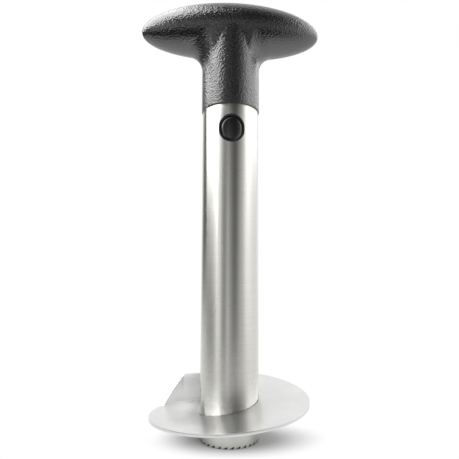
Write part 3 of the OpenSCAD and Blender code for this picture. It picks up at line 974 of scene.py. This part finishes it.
class CORER_OT_screws(Operator):
    """Give the two screws inside the grip their zinc finish"""
    bl_idname = "corer.finish_screws"
    bl_label = "Screws"

    def execute(self, context):
        material = zinc_plate(context.scene.corer_finish)
        for node in SCREW_NODES:
            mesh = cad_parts[node].data
            mesh.materials.clear()
            mesh.materials.append(material)
        return {"FINISHED"}


def number(tree, operation, *sources):
    """A number worked out from others."""
    return add_node(tree, "ShaderNodeMath", *sources, operation=operation).outputs["Value"]


def distance_along(tree, point, direction):
    """How far a point lies along a direction."""
    node = add_node(tree, "ShaderNodeVectorMath", point, operation="DOT_PRODUCT")
    node.inputs[1].default_value = direction
    return node.outputs["Value"]


def level(tree, source, table):
    """Brightness read from a table of places and values."""
    first, last = table[0][0], table[-1][0]
    along = add_node(tree, "ShaderNodeMapRange", source)
    set_inputs(along, {"From Min": first, "From Max": last})
    ramp = add_node(tree, "ShaderNodeValToRGB", along.outputs["Result"])
    stops = ramp.color_ramp.elements
    while len(stops) < len(table):
        stops.new(1)
    for stop, (where, value) in zip(stops, table):
        stop.position = (where - first) / (last - first)
        stop.color = (value, value, value, 1)
    return ramp.outputs["Color"]


def shadow_fade(tree, spot, stage):
    """Rises from 0 in the object's shadow to 1 where the floor is plain white."""
    squeeze = add_node(tree, "ShaderNodeVectorMath", spot, operation="MULTIPLY_ADD")
    squeeze.inputs[1].default_value = (1, stage.floor_squeeze, 1)
    squeeze.inputs[2].default_value = (-stage.floor_shift, 0, 0)
    reach = add_node(tree, "ShaderNodeVectorMath", squeeze.outputs["Vector"], operation="LENGTH")
    away = add_node(tree, "ShaderNodeMapRange", reach.outputs["Value"], interpolation_type="SMOOTHSTEP")
    set_inputs(away, {"From Min": stage.floor_near, "From Max": stage.floor_far})
    return away.outputs["Result"]


def pale_floor_painted_shade(stage, white):
    """Matte floor that takes the shadow, plain white farther off, with painted shade that dims its
    reflections to the front.
    """
    material = bpy.data.materials.new("pale_floor_painted_shade")
    material.use_nodes = True
    tree = material.node_tree
    tree.nodes.clear()
    ray = add_node(tree, "ShaderNodeLightPath").outputs
    spot = add_node(tree, "ShaderNodeTexCoord").outputs["Object"]
    centre = add_node(tree, "ShaderNodeVectorMath", spot, operation="LENGTH").outputs["Value"]
    front = (-math.sin(stage.floor_turn), -math.cos(stage.floor_turn), 0)
    # Painted shade in reflections: glossy rays see the floor glow white near the object and dimmer towards
    # its front
    painted_shade_share = number(tree, "MAXIMUM", level(tree, distance_along(tree, spot, front), FRONT_PAINTED_SHADE_SHARES),
                      level(tree, centre, NEAR_UNSHADED_SHARES))
    shown = number(tree, "MAXIMUM", ray["Is Camera Ray"], painted_shade_share)
    plain = add_node(tree, "ShaderNodeEmission", shown)
    matte = add_node(tree, "ShaderNodeBsdfDiffuse")
    matte.inputs["Color"].default_value = (*white, 1)
    open_floor = add_node(tree, "ShaderNodeMath", centre, operation="GREATER_THAN")
    open_floor.inputs[1].default_value = stage.floor_bore
    lit = number(tree, "MULTIPLY", shadow_fade(tree, spot, stage), open_floor.outputs["Value"])
    seen = number(tree, "MAXIMUM", ray["Is Camera Ray"], ray["Is Glossy Ray"])
    mix = add_node(tree, "ShaderNodeMixShader", number(tree, "MULTIPLY", seen, lit),
                   matte.outputs["BSDF"], plain.outputs["Emission"])
    add_node(tree, "ShaderNodeOutputMaterial", mix.outputs["Shader"])
    return material


class CORER_OT_stage(Operator):
    """Set up the pale floor, the soft studio light and the camera"""
    bl_idname = "corer.make_stage"
    bl_label = "Stage"

    def execute(self, context):
        stage = context.scene.corer_stage
        self.camera(context.scene, stage)
        self.floor(stage, context.scene.corer_finish)
        self.walls(context.scene)
        for box in SOFT_BOXES:
            self.soft_box(*box)
        context.scene.view_settings.view_transform = "Standard"
        return {"FINISHED"}

    def camera(self, scene, stage):
        """Camera at the place from which the object is seen."""
        data = bpy.data.cameras.new("camera")
        data.sensor_width = SENSOR_WIDTH
        data.lens = stage.lens
        data.clip_start = CLIP_START
        camera = bpy.data.objects.new("camera", data)
        camera.location = stage.camera_place
        camera.rotation_euler = (math.pi / 2 + stage.camera_pitch, -stage.camera_roll, -stage.camera_heading)
        scene.collection.objects.link(camera)
        scene.camera = camera

    def floor(self, stage, finish_settings):
        """Floor under the object, which ends a little way to its front."""
        half = stage.floor_size / 2
        bm = bmesh.new()
        bmesh.ops.create_grid(bm, x_segments=1, y_segments=1, size=half)
        bmesh.ops.translate(bm, vec=(0, half - stage.floor_front, 0), verts=bm.verts)
        bmesh.ops.rotate(bm, cent=ORIGIN, matrix=Matrix.Rotation(-stage.floor_turn, 3, "Z"), verts=bm.verts)
        floor = add_piece("floor", bm)
        floor.data.materials.append(pale_floor_painted_shade(stage, finish_settings.floor_white))

    def walls(self, scene):
        """Studio walls by direction, white where the camera looks straight at them."""
        world = bpy.data.worlds.new("studio")
        world.use_nodes = True
        scene.world = world
        tree = world.node_tree
        tree.nodes.clear()
        direction = add_node(tree, "ShaderNodeTexCoord").outputs["Generated"]
        parts = add_node(tree, "ShaderNodeSeparateXYZ", direction).outputs
        forward = add_node(tree, "ShaderNodeMath", parts["Y"], operation="MULTIPLY")
        forward.inputs[1].default_value = -1
        bearing = number(tree, "ARCTAN2", parts["X"], forward.outputs["Value"])
        by_bearing = [(math.radians(degrees), value) for degrees, value in SURROUND]
        shaded = number(tree, "MULTIPLY", level(tree, parts["Z"], HEIGHTS),
                        level(tree, distance_along(tree, direction, SHADE_AT), SHADES))
        around = add_node(tree, "ShaderNodeBackground", level(tree, bearing, by_bearing), shaded)
        backdrop = add_node(tree, "ShaderNodeBackground")
        backdrop.inputs["Color"].default_value = (1, 1, 1, 1)
        ray = add_node(tree, "ShaderNodeLightPath").outputs
        mix = add_node(tree, "ShaderNodeMixShader", ray["Is Camera Ray"], around.outputs["Background"],
                       backdrop.outputs["Background"])
        add_node(tree, "ShaderNodeOutputWorld", mix.outputs["Shader"])

    def soft_box(self, name, degrees, distance, height, width, tallness, brightness):
        """Soft box that faces the object."""
        data = bpy.data.lights.new(name, "AREA")
        data.shape = "RECTANGLE"
        data.size = width
        data.size_y = tallness
        data.energy = brightness * math.pi * width * tallness
        lamp = bpy.data.objects.new(name, data)
        bearing = math.radians(degrees)
        lamp.location = (distance * math.sin(bearing), -distance * math.cos(bearing), height)
        lamp.rotation_euler = (lamp.location - SOFT_BOX_AIM).to_track_quat("Z", "Y").to_euler()
        lamp.visible_camera = False
        bpy.context.scene.collection.objects.link(lamp)


OPERATORS = (CORER_OT_tube, CORER_OT_blade, CORER_OT_welds, CORER_OT_grip, CORER_OT_buttons,
             CORER_OT_plug, CORER_OT_cap, CORER_OT_springs, CORER_OT_screws, CORER_OT_stage)
SETTINGS = (("corer_tube", TubeSettings), ("corer_blade", BladeSettings), ("corer_grip", GripSettings),
            ("corer_latch", LatchSettings), ("corer_finish", FinishSettings), ("corer_stage", StageSettings))


class CORER_PT_pieces(Panel):
    """Lists the pieces of the corer"""
    bl_idname = "CORER_PT_pieces"
    bl_label = "Pineapple corer"
    bl_space_type = "VIEW_3D"
    bl_region_type = "UI"
    bl_category = "Corer"

    def draw(self, context):
        """Draws one button for each operator."""
        for operator in OPERATORS:
            self.layout.operator(operator.bl_idname)


def register():
    """Registers the settings, the operators and the panel."""
    for name, group in SETTINGS:
        bpy.utils.register_class(group)
        setattr(bpy.types.Scene, name, PointerProperty(type=group))
    for operator in OPERATORS:
        bpy.utils.register_class(operator)
    bpy.utils.register_class(CORER_PT_pieces)


def unregister():
    """Takes them out again."""
    bpy.utils.unregister_class(CORER_PT_pieces)
    for operator in reversed(OPERATORS):
        bpy.utils.unregister_class(operator)
    for name, group in reversed(SETTINGS):
        delattr(bpy.types.Scene, name)
        bpy.utils.unregister_class(group)


def main():
    """Makes every piece and the stage."""
    register()
    bpy.ops.corer.make_tube()
    bpy.ops.corer.make_blade()
    bpy.ops.corer.make_welds()
    bpy.ops.corer.make_grip()
    bpy.ops.corer.make_buttons()
    bpy.ops.corer.make_plug()
    bpy.ops.corer.make_cap()
    bpy.ops.corer.make_springs()
    bpy.ops.corer.finish_screws()
    bpy.ops.corer.make_stage()


if __name__ == "__main__":
    main()
